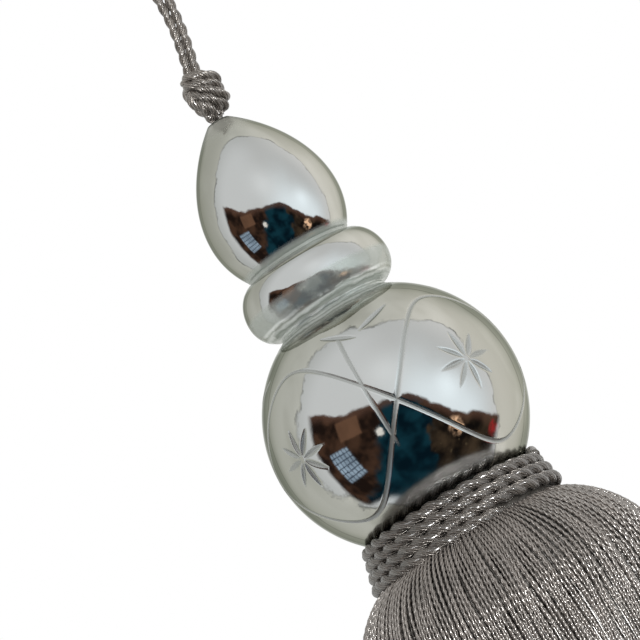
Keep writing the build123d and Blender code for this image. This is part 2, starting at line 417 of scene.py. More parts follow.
@dataclass(frozen=True)
class Tape(Finish):
    """Close-woven heading tape."""

    warp: Colour = (0.16, 0.15, 0.13)
    weft: Colour = (0.07, 0.062, 0.054)
    pitch: float = 0.0006

    def surface(self, graph: Graph) -> Wire:
        """Wire the shader: a plain weave of warp and weft."""
        place = graph.place()
        rows = (graph.dot(place, (0.0, 0.0, TAU / self.pitch))).wave()
        ends = (graph.dot(place, (TAU / self.pitch, TAU / self.pitch, 0.0))).wave()
        weave = rows * ends * 0.5 + 0.5
        fluff = graph.noise(place, 1200.0, 3.0)
        return graph.add("ShaderNodeBsdfPrincipled", None, {
            "Base Color": graph.blend(weave * 0.7 + fluff * 0.3, self.weft, self.warp),
            "Roughness": 0.75 + fluff * 0.2, "Sheen Weight": 0.3,
            "Normal": graph.bump(weave + fluff * 0.5, 0.0001)})


@dataclass(frozen=True)
class TurnedWood(Finish):
    """Plain turned wood with fine grain."""

    early: Colour = (0.52, 0.36, 0.20)
    late: Colour = (0.32, 0.19, 0.10)

    def surface(self, graph: Graph) -> Wire:
        """Wire the shader: drawn-out grain along the axis."""
        place = graph.place()
        grain = graph.noise(graph.stretched(place, (420.0, 420.0, 30.0)), 1.0, 4.0)
        return graph.add("ShaderNodeBsdfPrincipled", None, {
            "Base Color": graph.blend(grain.step(0.35, 0.65), self.early, self.late),
            "Roughness": 0.5 + grain * 0.2, "Normal": graph.bump(grain, 0.0001)})


@dataclass(frozen=True)
class TurnedMetal(Finish):
    """Brass, with rings left by the turning tool."""

    bright: Colour = (0.80, 0.60, 0.30)
    dull: Colour = (0.42, 0.29, 0.13)

    def surface(self, graph: Graph) -> Wire:
        """Wire the shader: tool rings and a little tarnish."""
        place = graph.place()
        tarnish = graph.noise(place, 500.0, 4.0)
        rings = graph.add("ShaderNodeTexWave", {
            "wave_type": "RINGS", "rings_direction": "Z"}, {"Vector": place, "Scale": 600.0}, "Fac")
        return graph.add("ShaderNodeBsdfPrincipled", None, {
            "Base Color": graph.blend(tarnish.step(0.4, 0.75), self.bright, self.dull),
            "Metallic": 1.0, "Roughness": 0.22 + tarnish * 0.25,
            "Normal": graph.bump(rings, 0.00003)})


@dataclass(frozen=True)
class Paper(Finish):
    """The pale paper of the floor."""

    pale: Colour = (0.93, 0.93, 0.93)
    paler: Colour = (0.96, 0.96, 0.96)

    def surface(self, graph: Graph) -> Wire:
        """Wire the shader: matt paper with a very faint grain."""
        grain = graph.noise(graph.place(), 300.0, 3.0)
        return graph.add("ShaderNodeBsdfPrincipled", None, {
            "Base Color": graph.blend(grain, self.pale, self.paler),
            "Roughness": 0.95, "Specular IOR Level": 0.0})


HANGING_CORD = Yarn("taupe twisted cord", dark=(0.022, 0.018, 0.015), light=(0.270, 0.236, 0.203),
                    fibres=8.0, lay=0.0065, depth=0.00026, fray=0.22, ruffle=1.8, gloss=0.5, sheen=0.1)
ROPE = Yarn("taupe silk rope", dark=(0.016, 0.013, 0.011), light=(0.215, 0.184, 0.158),
            fibres=12.0, lay=0.0100, roughness=0.28, depth=0.00045, fray=0.25, ruffle=1.8, gloss=0.9,
            sheen=0.1)
THREADS = Yarn("pale twisted threads", dark=(0.085, 0.073, 0.064), light=(0.385, 0.340, 0.306),
               fibres=2.0, lay=1.0, roughness=0.28, depth=0.00001, fray=0.08, ruffle=0.5, gloss=1.0,
               sheen=0.1)
# Very dark: painted shade on the threads deep inside the skirt and on the ends under the hem.
UNDER_THREADS = Yarn("shaded inner threads", dark=(0.015, 0.013, 0.011), light=(0.06, 0.052, 0.045),
                     fibres=3.0, lay=0.003, sheen=0.05, fray=0.15)
BINDING = Yarn("binding thread", dark=(0.05, 0.044, 0.038), light=(0.20, 0.185, 0.165), fibres=1.0,
               lay=0.002)
TAPE = Tape("heading tape")
GLASS = SilveredGlass("silvered cut glass")
SILVER = Silvering("silvering")
WOOD = TurnedWood("turned wood")
BRASS = TurnedMetal("brass washer")
FLOOR = Paper("pale paper")


# ---------------------------------------------------------------- meshes


def dress(piece: bpy.types.Object, finish: Finish, body: Body | None,
          replaces: Sequence[str] = ()) -> None:
    """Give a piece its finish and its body.

    Args:
        piece: The object.
        finish: What it is finished in.
        body: The body it rides on, or None for one that is placed otherwise.
        replaces: CAD nodes that it stands for.
    """
    piece.data.materials.clear()
    piece.data.materials.append(finish.material())
    if replaces:
        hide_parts(*replaces)
    if body:
        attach(piece, body.value)
    log.info("%s: %d points", piece.name, len(piece.data.vertices))


def piece_from(name: str, points: np.ndarray, faces: list[list[int]],
               charts: Mapping[str, np.ndarray] | None = None) -> bpy.types.Object:
    """Make a smooth mesh object.

    Args:
        name: The piece's name.
        points: Its points, in metres.
        faces: Its faces, as lists of point numbers.
        charts: UV maps, one row for each corner of each face.

    Returns:
        The object, in the scene.
    """
    mesh = bpy.data.meshes.new(name)
    mesh.from_pydata(points.tolist(), [], faces)
    for label, rows in (charts or {}).items():
        layer = mesh.uv_layers.new(name=label)
        layer.data.foreach_set("uv", np.asarray(rows, dtype=np.float32).ravel())
    mesh.polygons.foreach_set("use_smooth", [True] * len(mesh.polygons))
    mesh.update()
    piece = bpy.data.objects.new(name, mesh)
    bpy.context.scene.collection.objects.link(piece)
    return piece


def unit(rows: np.ndarray) -> np.ndarray:
    """Return vectors at length 1."""
    return rows / np.maximum(np.linalg.norm(rows, axis=-1, keepdims=True), 1e-12)


def run_along(path: np.ndarray) -> np.ndarray:
    """Return how far along a path each of its points is."""
    return np.concatenate([[0.0], np.cumsum(np.linalg.norm(np.diff(path, axis=0), axis=1))])


def inward(line: np.ndarray) -> np.ndarray:
    """Return the way in at each point of an outline drawn from top to foot as (radius, height)."""
    slope = unit(np.gradient(line, axis=0))
    return np.stack([slope[:, 1], -slope[:, 0]], axis=1)


def polar(radius: np.ndarray | float, turn: np.ndarray | float, level: np.ndarray | float) -> np.ndarray:
    """Place points round the upright axis.

    Args:
        radius: Their distances from the axis.
        turn: Their angles round it.
        level: Their heights.

    Returns:
        The points, with x, y and z along a new last axis.
    """
    parts = np.broadcast_arrays(radius * np.cos(turn), radius * np.sin(turn), level)
    return np.stack(parts, axis=-1)


def least_twisted(paths: np.ndarray) -> tuple[np.ndarray, np.ndarray]:
    """Find two directions across each path that turn as little as they can along it.

    Args:
        paths: Points of several paths, as (path, point, 3).

    Returns:
        The two directions, each in the same shape.
    """
    along = unit(np.gradient(paths, axis=1))
    side = np.zeros_like(along)
    start = np.where(np.abs(along[:, 0, 2:3]) < 0.9, [[0.0, 0.0, 1.0]], [[1.0, 0.0, 0.0]])
    side[:, 0] = unit(np.cross(along[:, 0], start))
    for n in range(1, paths.shape[1]):
        carried = side[:, n - 1]
        carried = carried - (carried * along[:, n]).sum(-1, keepdims=True) * along[:, n]
        side[:, n] = unit(carried)
    return side, np.cross(along, side)


def plies(sides: int, count: int = 2, share: float = 0.46) -> np.ndarray:
    """Return the outline of plies laid together, as radii round a cord of radius 1.

    Args:
        sides: How many points the outline has.
        count: How many plies.
        share: How far each ply's centre is from the cord's.

    Returns:
        The radii.
    """
    angle = np.arange(sides) * TAU / sides
    ply = 1.0 - share
    reach = np.zeros(sides)
    for n in range(count):
        off = angle - n * TAU / count
        chord = np.maximum(ply ** 2 - (share * np.sin(off)) ** 2, 0.012)
        reach = np.maximum(reach, share * np.cos(off) + np.sqrt(chord))
    return reach


CORD_OUTLINE = plies(16, 2, 0.32)


@dataclass
class Strands:
    """Several cords swept along paths of as many points each."""

    paths: np.ndarray
    radius: np.ndarray | float
    outline: np.ndarray
    lay: float
    phase: np.ndarray | float = 0.0

    def build(self, name: str) -> bpy.types.Object:
        """Make the mesh of all the cords.

        Args:
            name: The piece's name.

        Returns:
            The object.
        """
        count, rows, _ = self.paths.shape
        sides = len(self.outline)
        side, across = least_twisted(self.paths)
        steps = np.linalg.norm(np.diff(self.paths, axis=1), axis=-1)
        run = np.concatenate([np.zeros((count, 1)), np.cumsum(steps, axis=1)], axis=1)
        turn = run / self.lay * TAU + np.broadcast_to(self.phase, count)[:, None]
        angle = turn[..., None] + np.arange(sides) * TAU / sides
        reach = (np.broadcast_to(self.radius, (count, rows))[..., None] * self.outline)[..., None]
        points = (self.paths[:, :, None] + side[:, :, None] * np.cos(angle)[..., None] * reach
                  + across[:, :, None] * np.sin(angle)[..., None] * reach)
        first = (np.arange(count) * rows * sides)[:, None, None]
        row = (np.arange(rows - 1) * sides)[None, :, None]
        here = np.arange(sides)[None, None, :]
        then = (np.arange(sides) + 1) % sides
        a = first + row + here
        b = first + row + then[None, None, :]
        quads = np.stack([a, b, b + sides, a + sides], axis=-1).reshape(-1, 4)
        ends = np.concatenate([
            (first[:, 0] + here[0])[:, ::-1], first[:, 0] + (rows - 1) * sides + here[0]])
        maps = self._charts(run, count, rows, sides)
        return piece_from(name, points.reshape(-1, 3), quads.tolist() + ends.tolist(), maps)

    def _charts(self, run: np.ndarray, count: int, rows: int, sides: int) -> dict[str, np.ndarray]:
        """Lay each cord out flat beside the next, and once more in its real length.

        Args:
            run: Length along each cord at each point, in metres.
            count: How many cords there are.
            rows: How many points each has.
            sides: How many sides each has.

        Returns:
            The two maps, one row for each face corner.
        """
        columns = math.ceil(math.sqrt(count))
        lines = math.ceil(count / columns)
        cord, row, side = np.meshgrid(
            np.arange(count), np.arange(rows - 1), np.arange(sides), indexing="ij")
        packed, yarn = [], []
        for corner_side, corner_row in ((0, 0), (1, 0), (1, 1), (0, 1)):
            around = (side + corner_side) / sides
            up = (row + corner_row) / (rows - 1)
            packed.append(np.stack([
                (cord % columns + 0.04 + 0.92 * around) / columns,
                (cord // columns + 0.01 + 0.98 * up) / lines], axis=-1))
            yarn.append(np.stack([around, run[cord, row + corner_row]], axis=-1))
        packed = np.stack(packed, axis=-2).reshape(-1, 2)
        yarn = np.stack(yarn, axis=-2).reshape(-1, 2)
        spare = np.zeros((2 * count * sides, 2)) + 0.001
        return {BAKE_MAP: np.concatenate([packed, spare]), YARN_MAP: np.concatenate([yarn, spare])}


def evenly(path: np.ndarray, spacing: float) -> np.ndarray:
    """Return a path with its points the same distance apart.

    Args:
        path: The path's points.
        spacing: The distance wanted, in the path's own unit.

    Returns:
        The new points, ends kept.
    """
    run = run_along(path)
    count = max(int(round(run[-1] / spacing)), 4) + 1
    wanted = np.linspace(0.0, run[-1], count)
    return np.stack([np.interp(wanted, run, path[:, k]) for k in range(path.shape[1])], axis=1)


def bezier(points: Sequence[Sequence[float]], count: int) -> np.ndarray:
    """Return points along a cubic Bezier curve.

    Args:
        points: Its four control points.
        count: How many points to return.

    Returns:
        The points.
    """
    t = np.linspace(0.0, 1.0, count)[:, None]
    a, b, c, d = (np.asarray(p, dtype=float) for p in points)
    return a * (1 - t) ** 3 + 3 * b * t * (1 - t) ** 2 + 3 * c * t ** 2 * (1 - t) + d * t ** 3


def smooth_through(points: Sequence[Point], spacing: float) -> np.ndarray:
    """Return an even, smooth path through a few places.

    Args:
        points: The places it passes, in millimetres.
        spacing: Distance between the points returned, in millimetres.

    Returns:
        The path in metres.
    """
    places = np.asarray(points, dtype=float)
    ends = np.vstack([2 * places[0] - places[1], places, 2 * places[-1] - places[-2]])
    runs = []
    t = np.linspace(0.0, 1.0, 24, endpoint=False)[:, None]
    for n in range(1, len(ends) - 2):
        a, b, c, d = ends[n - 1:n + 3]
        runs.append(0.5 * (2 * b + (c - a) * t + (2 * a - 5 * b + 4 * c - d) * t ** 2
                           + (3 * b - a - 3 * c + d) * t ** 3))
    runs.append(places[-1:])
    return evenly(np.concatenate(runs), spacing) * MM


# ---------------------------------------------------------------- cord and knot


@dataclass
class HangingLoop:
    """The loop of two-ply cord that the ornament hangs by."""

    diameter: float = 2.0
    fullness: float = 1.34
    lay: float = 7.4
    phase: float = 0.4
    spacing: float = 0.35
    length: float = 0.140
    route: tuple[Point, ...] = (
        (-0.00038, 0.0, -0.066), (0.00182, 0.0, -0.058), (0.00342, 0.0, -0.047), (0.0029, 0.0, -0.033),
        (0.0002, 0.0, -0.018), (-0.0026, 0.0, -0.007), (-0.004, 0.0, -0.0007), (0.0, 0.0, 0.0016),
        (0.004, 0.0, -0.0007), (0.0043, 0.0, -0.007), (0.0052, 0.0, -0.018), (0.006, 0.0, -0.033),
        (0.00558, 0.0, -0.047), (0.00398, 0.0, -0.058), (0.00178, 0.0, -0.066))

    def followed(self) -> np.ndarray:
        """Return the smooth line of the route, read from its spline."""
        curve = bpy.data.curves.new("loop_line", "CURVE")
        curve.dimensions = "3D"
        curve.resolution_u = 16
        spline = curve.splines.new("NURBS")
        spline.points.add(len(self.route) - 1)
        for point, place in zip(spline.points, self.route):
            point.co = (*place, 1.0)
        spline.order_u = 3
        spline.use_endpoint_u = True
        holder = bpy.data.objects.new("loop_line", curve)
        line = bpy.data.meshes.new_from_object(holder)
        points = np.array([tuple(v.co) for v in line.vertices])
        bpy.data.objects.remove(holder)
        bpy.data.curves.remove(curve)
        bpy.data.meshes.remove(line)
        return points

    def build(self) -> None:
        path = evenly(self.followed(), self.spacing * MM)
        loop = Strands(path[None], 0.5 * self.diameter * self.fullness * MM, plies(18, 2, 0.31),
                       self.lay * MM, self.phase).build("hanging_loop_cord")
        dress(loop, HANGING_CORD, Body.CORD, ["hanging_loop"])


@dataclass
class HangingKnot:
    """The doubled knot under the loop, and the plies that go down into the glass."""

    diameter: float = 2.7
    lay: float = 8.0
    top: float = -66.0
    foot: float = -78.4
    rows: int = 150
    spacing: float = 0.3

    def _ring(self, centre: Point, radius: float, tilt: tuple[float, float], start: float,
              sweep: float) -> list[Point]:
        """Return places round a tilted turn of cord.

        Args:
            centre: Middle of the turn.
            radius: Its radius.
            tilt: Slopes of its plane along x and y.
            start: Angle where it starts, in degrees.
            sweep: How far it goes round, in degrees.

        Returns:
            The places, in millimetres.
        """
        count = max(int(abs(sweep) / 30.0), 3)
        places = []
        for n in range(count + 1):
            turn = math.radians(start + sweep * n / count)
            x, y = radius * math.cos(turn), radius * math.sin(turn)
            places.append((centre[0] + x, centre[1] + y, centre[2] + tilt[0] * x + tilt[1] * y))
        return places

    def strands(self) -> list[list[Point]]:
        """Return the places that each cord in the knot passes."""
        runs: list[list[Point]] = []
        for x in (-0.38, 1.78):
            runs.append([(x, 0.0, self.top + 0.6), (x, 0.0, self.top - 2.0),
                         (0.7 + 0.5 * (x - 0.7), 0.8, self.top - 5.0), (0.7, 0.6, self.top - 9.0)])
        for x, z in ((0.05, 0.0), (-0.55, -2.1)):
            ring = self._ring((1.75 + x, 0.1, -68.3 + z), 3.95, (-0.42, -0.30), 110, 335)
            runs.append([(1.2, 1.6, -68.6 + z)] + ring + [(1.6, 1.4, -70.0 + z)])
        for x, z in ((0.35, 0.0), (-1.2, -1.75)):
            ring = self._ring((1.75 + x, -0.1, -72.1 + z), 3.3, (-0.95, -0.2), 150, 330)
            runs.append([(0.4, 0.5, -70.0 + z)] + ring + [(0.6, 1.2, -73.0 + z)])
        for x, y, z in ((0.0, 0.0, 0.0), (0.9, -1.6, -0.9)):
            runs.append([(-0.6 + x, 1.5 + y, -67.6 + z), (-3.0 + x, 0.2 + y, -69.2 + z),
                         (-3.3 + x, -0.4 + y, -71.6 + z), (-2.2 + x, -0.5 + y, -74.4 + z),
                         (-0.9 + 0.3 * x, 0.0 + 0.5 * y, -76.8 + z), (-0.6, 0.3 * y, self.foot)])
        runs.append([(2.4, 1.2, -67.2), (2.8, -0.9, -68.4), (1.2, -1.6, -69.8), (0.4, 0.2, -71.0),
                     (1.6, 1.0, -72.4), (0.9, -0.9, -74.0), (0.3, 0.0, -76.0)])
        for start in (-125.0, -70.0, -15.0, 45.0, 105.0, 165.0):
            turns = [math.radians(start + twist) for twist in (0.0, 14.0, 30.0, 46.0, 60.0)]
            radii = (1.6, 2.9, 2.5, 1.75, 1.45)
            levels = (-72.6, -74.4, -76.2, -77.5, self.foot)
            runs.append([(0.5 + r * math.cos(t), r * math.sin(t), z)
                         for r, t, z in zip(radii, turns, levels)])
        return runs

    def build(self) -> None:
        """Make the knot's cords as one piece."""
        paths = []
        for run in self.strands():
            path = smooth_through(run, self.spacing)
            paths.append(evenly(path, run_along(path)[-1] / (self.rows - 1))[:self.rows])
        knot = Strands(np.stack(paths), 0.5 * self.diameter * MM, CORD_OUTLINE, self.lay * MM,
                       np.linspace(0.0, TAU, len(paths))).build("hanging_knot_cords")
        dress(knot, HANGING_CORD, Body.CORD, ["hanging_knot"])


@dataclass
class TwistingNeck:
    """The plies that turn in the hole of the glass, between knot and ornament."""

    top: float = -77.6
    foot: float = -82.0
    radius: float = 1.45
    ply_radius: float = 1.02
    plies: int = 4
    twist: float = 0.28
    lay: float = 7.4
    pinch_level: float = -79.0
    pinch_span: float = 1.5
    pinch: float = 0.30

    def build(self) -> None:
        """Make the neck's plies, drawn in where they enter the hole."""
        heights = np.linspace(self.top, self.foot, 40)
        drawn = 1.0 - self.pinch * np.clip((self.pinch_level - heights) / self.pinch_span + 0.5, 0.0, 1.0)
        starts = np.arange(self.plies)[:, None] * TAU / self.plies
        turn = starts + (self.top - heights) * self.twist
        neck = Strands(polar(self.radius * drawn, turn, heights) * MM, self.ply_radius * MM * drawn,
                       CORD_OUTLINE, self.lay * MM, np.linspace(0.0, TAU, self.plies)).build("neck_plies")
        dress(neck, HANGING_CORD, Body.NECK, ["cord_neck"])


# ---------------------------------------------------------------- glass


@dataclass
class Cuts:
    """What the wheel has cut into the ball: stars, a lattice of lines, leaves at the neck."""

    ball: float = 35.0
    stars: int = 4
    quarter: float = 90.0
    first: float = -48.5
    star_height: float = -0.2
    lattice_height: float = -1.4
    petals: int = 8
    petal_start: float = 0.7
    petal_end: float = 9.0
    petal_half: float = 0.92
    petal_depth: float = 0.45
    swing: float = 37.5
    crossing: float = -86.0
    line_half: float = 0.62
    line_depth: float = 0.32
    upright: float = -95.5
    upright_from: float = 41.0
    upright_to: float = -18.0
    run_in: float = 2.0
    run_out: float = 8.0
    leaf_half: float = 0.8
    leaves: tuple[tuple[tuple[float, float], tuple[float, float]], ...] = (
        ((9.1, 34.1), (-10.5, 45.0)), ((11.7, 36.5), (36.2, 43.6)))

    @property
    def degree(self) -> float:
        """Return how long a degree round the ball is, in millimetres."""
        return self.ball * math.pi / 180.0

    def _leaf(self, along: np.ndarray, across: np.ndarray, length: float, half: float) -> np.ndarray:
        """Return how deep a leaf-shaped cut is, from 0 to 1.

        Args:
            along: Distance along the leaf from its start.
            across: Distance to one side of it.
            length: Its length.
            half: Half its greatest width.

        Returns:
            The share of its full depth.
        """
        place = np.clip(along / length, 0.0, 1.0)
        shape = np.sin(np.pi * place ** 0.8) ** 0.8
        inside = (along > 0) & (along < length)
        return np.where(inside, shape * np.clip(1.0 - np.abs(across) / (half * shape + 1e-6), 0, 1), 0.0)

    def _groove(self, distance: np.ndarray) -> np.ndarray:
        """Return how deep a line cut is at a distance from its middle, from 0 to 1."""
        return np.clip(1.0 - np.abs(distance) / self.line_half, 0.0, 1.0)

    def depth(self, normals: np.ndarray) -> np.ndarray:
        """Return how deep the cuts are.

        Args:
            normals: Directions from the ball's centre, as (point, 3).

        Returns:
            The depth at each, in millimetres.
        """
        az = np.degrees(np.arctan2(normals[:, 1], normals[:, 0]))
        el = np.degrees(np.arcsin(np.clip(normals[:, 2], -1, 1)))
        cut = self._stars(normals)
        el = el - self.lattice_height
        cut = np.maximum(cut, self._lattice(az, el))
        for n in range(self.stars):
            off = (az - self.upright - n * self.quarter + 180.0) % 360.0 - 180.0
            cut = np.maximum(cut, self._upright_and_leaves(off, el))
        return cut

    def _stars(self, normals: np.ndarray) -> np.ndarray:
        """Return how deep the stars are.

        Args:
            normals: Directions from the ball's centre, as (point, 3).

        Returns:
            The depth at each, in millimetres.
        """
        cut = np.zeros(len(normals))
        for n in range(self.stars):
            a, e = math.radians(self.first + n * self.quarter), math.radians(self.star_height)
            centre = np.array([math.cos(e) * math.cos(a), math.cos(e) * math.sin(a), math.sin(e)])
            east = np.array([-math.sin(a), math.cos(a), 0.0])
            north = np.cross(centre, east)
            away = self.ball * np.arccos(np.clip(normals @ centre, -1, 1))
            turn = np.arctan2(normals @ north, normals @ east)
            for k in range(self.petals):
                off = turn - k * TAU / self.petals
                leaf = self._leaf(away * np.cos(off) - self.petal_start, away * np.sin(off),
                                  self.petal_end - self.petal_start, self.petal_half)
                cut = np.maximum(cut, self.petal_depth * leaf)
        return cut

    def _lattice(self, az: np.ndarray, el: np.ndarray) -> np.ndarray:
        """Return how deep the two waving lines are that cross between the stars.

        Args:
            az: Degrees round the ball.
            el: Degrees above the lattice's middle.

        Returns:
            The depth at each, in millimetres.
        """
        wave = np.radians(2.0 * (az - self.crossing - 0.5 * self.quarter))
        slope = 2.0 * self.swing * math.pi / 180.0 * np.sin(wave) / np.maximum(np.cos(np.radians(el)), 0.2)
        flat = self.degree / np.sqrt(1.0 + slope ** 2)
        line = self.swing * np.cos(wave)
        rising, falling = self._groove((el - line) * flat), self._groove((el + line) * flat)
        return self.line_depth * np.maximum(rising, falling)

    def _upright_and_leaves(self, off: np.ndarray, el: np.ndarray) -> np.ndarray:
        """Return how deep the short line between two stars is, and the leaves at its head.

        Args:
            off: Degrees to one side of the line.
            el: Degrees above the lattice's middle.

        Returns:
            The depth at each, in millimetres.
        """
        front = np.abs(off) < 0.5 * self.quarter
        fade = (np.clip((self.upright_from - el) / self.run_in, 0, 1)
                * np.clip((el - self.upright_to) / self.run_out, 0, 1))
        cut = self.line_depth * self._groove(off * self.degree * np.cos(np.radians(el))) * fade * front
        for (a0, e0), (a1, e1) in self.leaves:
            mid = math.cos(math.radians(0.5 * (e0 + e1)))
            span = np.array([(a1 - a0) * mid, e1 - e0]) * self.degree
            length = float(np.hypot(*span))
            x, y = (off - a0) * mid * self.degree, (el - e0) * self.degree
            along = (x * span[0] + y * span[1]) / length
            across = (x * span[1] - y * span[0]) / length
            leaf = self._leaf(along, across, length, self.leaf_half) * front
            cut = np.maximum(cut, self.petal_depth * leaf)
        return cut


@dataclass
class GlassFinial:
    """The blown glass: egg, ring and cut ball in one piece."""

    rim_hole: float = 3.2
    rim: float = -80.1
    egg: float = 18.85
    egg_level: float = -108.8
    egg_rise: float = 28.7
    waist: float = 14.6
    waist_top: float = -121.9
    waist_foot: float = -122.7
    ring: float = 21.05
    ring_level: float = -131.5
    neck: float = 15.4
    neck_top: float = -138.7
    neck_foot: float = -139.9
    ball: float = 35.0
    ball_level: float = -171.33
    ball_hole: float = 6.0
    wall: float = 1.5
    waist_soft: float = 1.3
    neck_soft: float = 1.7
    rib_depth: float = 0.16
    rib_pitch: float = 0.95
    inner_least: float = 1.8
    inner_spacing: float = 2.4
    full_frost: float = 0.12
    around: int = 220
    cuts: Cuts = field(default_factory=Cuts)

    def outline(self) -> np.ndarray:
        """Return the outside as (radius, height) from rim to foot, with softened corners."""
        rise = self.egg_rise
        shoulder = bezier([(self.rim_hole, self.rim), (0.55 * self.egg, self.rim - 0.2 * rise),
                           (self.egg, self.egg_level + 0.43 * rise), (self.egg, self.egg_level)], 60)
        drop = self.egg_level - self.waist_top
        end = math.acos(self.waist / self.egg)
        turn = np.linspace(0.0, end, 30)[1:]
        under = np.stack([self.egg * np.cos(turn),
                          self.egg_level - drop * np.sin(turn) / math.sin(end)], axis=1)
        quarter = np.linspace(0.0, 0.5 * math.pi, 26)
        upper = np.stack([self.waist + (self.ring - self.waist) * np.sin(quarter),
                          self.ring_level + (self.waist_foot - self.ring_level) * np.cos(quarter)], axis=1)
        lower = np.stack([self.neck + (self.ring - self.neck) * np.cos(quarter),
                          self.ring_level - (self.ring_level - self.neck_top) * np.sin(quarter)], axis=1)[1:]
        top = math.asin(self.neck / self.ball)
        foot = math.pi - math.asin(self.ball_hole / self.ball)
        turn = np.linspace(top, foot, 110)
        globe = np.stack([self.ball * np.sin(turn), self.ball_level + self.ball * np.cos(turn)], axis=1)
        return np.concatenate([shoulder, under, upper, lower, globe])

    def _soften(self, line: np.ndarray) -> np.ndarray:
        """Round the corners at the waist and neck, and leave the tool's fine ribs there.

        Args:
            line: The outside as (radius, height).

        Returns:
            The softened outside, with its points closest at the waist and neck.
        """
        fine = evenly(line, 0.2)
        soft = fine.copy()
        for _ in range(3):
            soft[1:-1] = 0.25 * soft[:-2] + 0.5 * soft[1:-1] + 0.25 * soft[2:]
        soft[0], soft[-1] = fine[0], fine[-1]
        near = [(0.5 * (self.waist_top + self.waist_foot), self.waist_soft),
                (0.5 * (self.neck_top + self.neck_foot), self.neck_soft)]
        for level, width in near:
            close = np.exp(-((soft[:, 1] - level) / width) ** 2)
            soft[:, 0] += self.rib_depth * close * np.cos((soft[:, 1] - level) * TAU / self.rib_pitch)
        run = run_along(soft)
        want = np.full(len(run), 1.0)
        for level, _ in near:
            want = np.minimum(want, 0.22 + 0.16 * np.abs(soft[:, 1] - level) ** 1.2)
        weight = np.concatenate([[0], np.cumsum(np.diff(run) / want[1:])])
        count = int(round(weight[-1])) + 1
        places = np.interp(np.linspace(0, weight[-1], count), weight, run)
        return np.stack([np.interp(places, run, soft[:, k]) for k in range(2)], axis=1)

    def build(self) -> None:
        """Make the glass and cut it."""
        outer = self._soften(self.outline())
        inner = evenly(outer + self.wall * inward(outer), self.inner_spacing)
        inner[:, 0] = np.maximum(inner[:, 0], self.inner_least)
        inner[0], inner[-1] = (self.rim_hole - 0.6, self.rim - 1.2), (self.ball_hole, outer[-1, 1] + 1.5)
        line = np.concatenate([outer, inner[::-1]])
        rows, n = len(line), self.around
        turn = np.arange(n) * TAU / n
        points = polar(line[:, None, 0], turn, line[:, None, 1])
        run = run_along(np.vstack([line, line[:1]]))
        row, col = np.meshgrid(np.arange(rows), np.arange(n), indexing="ij")
        after, beside = (row + 1) % rows, (col + 1) % n
        quads = np.stack([row * n + col, after * n + col, after * n + beside, row * n + beside], axis=-1)
        high = run / run[-1]
        chart = np.stack([np.stack([x, y], axis=-1) for x, y in (
            (col / n, high[row]), (col / n, high[row + 1]),
            ((col + 1) / n, high[row + 1]), ((col + 1) / n, high[row]))], axis=-2)
        glass = piece_from("glass_finial_cut", points.reshape(-1, 3) * MM,
                           quads.reshape(-1, 4).tolist(), {BAKE_MAP: chart.reshape(-1, 2)})
        self._cut(glass.data)
        dress(glass, GLASS, Body.ORNAMENT, ["glass_finial"])

    def _cut(self, mesh: bpy.types.Mesh) -> None:
        """Split the faces near the cuts finely, then press the cuts in.

        Args:
            mesh: The glass before it is cut.
        """
        centre = Vector((0.0, 0.0, self.ball_level * MM))
        bm = bmesh.new()
        bm.from_mesh(mesh)
        faces = [f for f in bm.faces if self._on_ball(f.calc_center_median())]
        middle = np.array([tuple(f.calc_center_median() - centre) for f in faces])
        near = np.zeros(len(faces), dtype=bool)
        for step in (*np.eye(3), *-np.eye(3), np.zeros(3)):
            near |= self.cuts.depth(unit(middle + step * 0.75 * MM)) > 0.0
        edges = {e for f, hit in zip(faces, near) if hit for e in f.edges}
        bmesh.ops.subdivide_edges(bm, edges=list(edges), cuts=3, use_grid_fill=True)
        places = np.array([tuple(v.co - centre) for v in bm.verts])
        away = np.linalg.norm(places, axis=1)
        high = places[:, 2] * 1000.0 < math.sqrt(self.ball ** 2 - self.neck ** 2) - 1.9
        skin = (away > (self.ball - 0.6) * MM) & high & (away < (self.ball + 0.1) * MM)
        depth = np.zeros(len(places))
        depth[skin] = self.cuts.depth(unit(places[skin]))
        to = unit(places) * ((self.ball - depth) * MM)[:, None]
        frost = bm.verts.layers.float.new("frost")
        for vert, move, place, cut in zip(bm.verts, skin, to, depth):
            if move:
                vert.co = centre + Vector(place)
                vert[frost] = min(cut / self.full_frost, 1.0)
        for face in bm.faces:
            face.smooth = True
        bm.to_mesh(mesh)
        bm.free()

    def _on_ball(self, place: Vector) -> bool:
        """Return whether a place is on the ball's outside."""
        away = (place - Vector((0.0, 0.0, self.ball_level * MM))).length
        return place.z < (self.neck_foot - 2.0) * MM and away > (self.ball - 0.7) * MM


# ---------------------------------------------------------------- collar and skirt


